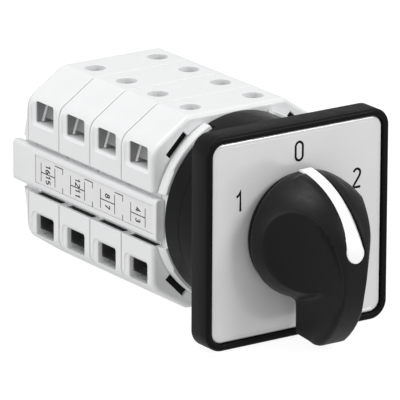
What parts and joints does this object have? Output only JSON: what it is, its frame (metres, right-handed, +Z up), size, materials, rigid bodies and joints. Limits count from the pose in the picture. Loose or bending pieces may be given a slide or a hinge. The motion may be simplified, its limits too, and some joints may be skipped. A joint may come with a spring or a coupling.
{
  "type": "rotary cam changeover switch",
  "caption": "Panel-mounted rotary cam changeover switch with a 1-0-2 grip knob, square front, round housing and stacked contact chambers behind.",
  "frame": {"origin": "on the shaft axis, in the plane where the square front frame seats on the panel", "axes": "+Y runs from the front to the back of the panel along the shaft, +X to the right seen from the front, +Z up"},
  "size_m": [0.064, 0.1356, 0.064],
  "materials": {
    "black_plastic": "satin black moulded thermoplastic",
    "white_plastic": "fine satin white polyamide moulding",
    "indicator_white": "smooth bright white insert",
    "legend_silver": "silver-grey printed legend plate with a clear gloss face",
    "label_paper": "printed white marking strip",
    "zinc_steel": "zinc-plated steel",
    "terminal_metal": "dull plated clamp metal",
    "contact_copper": "bare copper alloy with silver tips",
    "cam_plastic": "natural-coloured cam plastic"
  },
  "bodies": {
    "body": {"front_frame": "black_plastic", "legend_plate": "legend_silver", "panel_screw_1": "zinc_steel", "panel_screw_2": "zinc_steel", "panel_screw_3": "zinc_steel", "panel_screw_4": "zinc_steel", "front_housing": "black_plastic", "front_flange": "white_plastic", "detent_roller_left": "zinc_steel", "detent_roller_right": "zinc_steel", "detent_spring_left": "zinc_steel", "detent_spring_right": "zinc_steel", "contact_chamber_1": "white_plastic", "contact_chamber_2": "white_plastic", "contact_chamber_3": "white_plastic", "contact_chamber_4": "white_plastic", "terminal_1": "terminal_metal", "terminal_2": "terminal_metal", "terminal_3": "terminal_metal", "terminal_4": "terminal_metal", "terminal_5": "terminal_metal", "terminal_6": "terminal_metal", "terminal_7": "terminal_metal", "terminal_8": "terminal_metal", "terminal_9": "terminal_metal", "terminal_10": "terminal_metal", "terminal_11": "terminal_metal", "terminal_12": "terminal_metal", "terminal_13": "terminal_metal", "terminal_14": "terminal_metal", "terminal_15": "terminal_metal", "terminal_16": "terminal_metal", "rear_cover": "white_plastic", "tie_bolt_lower": "zinc_steel", "tie_bolt_upper": "zinc_steel", "label_holder_left": "white_plastic", "label_holder_right": "white_plastic", "label_strip_left": "label_paper", "label_strip_right": "label_paper"},
    "rotor": {"knob": "black_plastic", "knob_indicator": "indicator_white", "knob_screw": "zinc_steel", "shaft": "zinc_steel", "detent_wheel": "cam_plastic", "cam_1": "cam_plastic", "cam_2": "cam_plastic", "cam_3": "cam_plastic", "cam_4": "cam_plastic"},
    "bridge_1_left": {"contact_bridge_1_left": "contact_copper"},
    "bridge_1_right": {"contact_bridge_1_right": "contact_copper"},
    "bridge_2_left": {"contact_bridge_2_left": "contact_copper"},
    "bridge_2_right": {"contact_bridge_2_right": "contact_copper"},
    "bridge_3_left": {"contact_bridge_3_left": "contact_copper"},
    "bridge_3_right": {"contact_bridge_3_right": "contact_copper"},
    "bridge_4_left": {"contact_bridge_4_left": "contact_copper"},
    "bridge_4_right": {"contact_bridge_4_right": "contact_copper"}
  },
  "joints": [
    {"name": "knob_turn", "type": "hinge", "parent": "body", "child": "rotor", "pos_m": [0, 0, 0], "axis": [0, 1, 0], "range_deg": [-60, 60]},
    {"name": "bridge_1_left_slide", "type": "slide", "parent": "body", "child": "bridge_1_left", "axis": [1, 0, 0], "range_m": [-0.00121, 0.00121]},
    {"name": "bridge_1_right_slide", "type": "slide", "parent": "body", "child": "bridge_1_right", "axis": [1, 0, 0], "range_m": [-0.00121, 0.00121]},
    {"name": "bridge_2_left_slide", "type": "slide", "parent": "body", "child": "bridge_2_left", "axis": [1, 0, 0], "range_m": [-0.00121, 0.00121]},
    {"name": "bridge_2_right_slide", "type": "slide", "parent": "body", "child": "bridge_2_right", "axis": [1, 0, 0], "range_m": [-0.00121, 0.00121]},
    {"name": "bridge_3_left_slide", "type": "slide", "parent": "body", "child": "bridge_3_left", "axis": [1, 0, 0], "range_m": [-0.00121, 0.00121]},
    {"name": "bridge_3_right_slide", "type": "slide", "parent": "body", "child": "bridge_3_right", "axis": [1, 0, 0], "range_m": [-0.00121, 0.00121]},
    {"name": "bridge_4_left_slide", "type": "slide", "parent": "body", "child": "bridge_4_left", "axis": [1, 0, 0], "range_m": [-0.00121, 0.00121]},
    {"name": "bridge_4_right_slide", "type": "slide", "parent": "body", "child": "bridge_4_right", "axis": [1, 0, 0], "range_m": [-0.00121, 0.00121]}
  ],
  "couplings": [
    {"joint": "bridge_1_left_slide", "follows": "knob_turn", "m_per_rad": -0.0011459},
    {"joint": "bridge_1_right_slide", "follows": "knob_turn", "m_per_rad": -0.0011459},
    {"joint": "bridge_2_left_slide", "follows": "knob_turn", "m_per_rad": -0.0011459},
    {"joint": "bridge_2_right_slide", "follows": "knob_turn", "m_per_rad": -0.0011459},
    {"joint": "bridge_3_left_slide", "follows": "knob_turn", "m_per_rad": -0.0011459},
    {"joint": "bridge_3_right_slide", "follows": "knob_turn", "m_per_rad": -0.0011459},
    {"joint": "bridge_4_left_slide", "follows": "knob_turn", "m_per_rad": -0.0011459},
    {"joint": "bridge_4_right_slide", "follows": "knob_turn", "m_per_rad": -0.0011459}
  ]
}
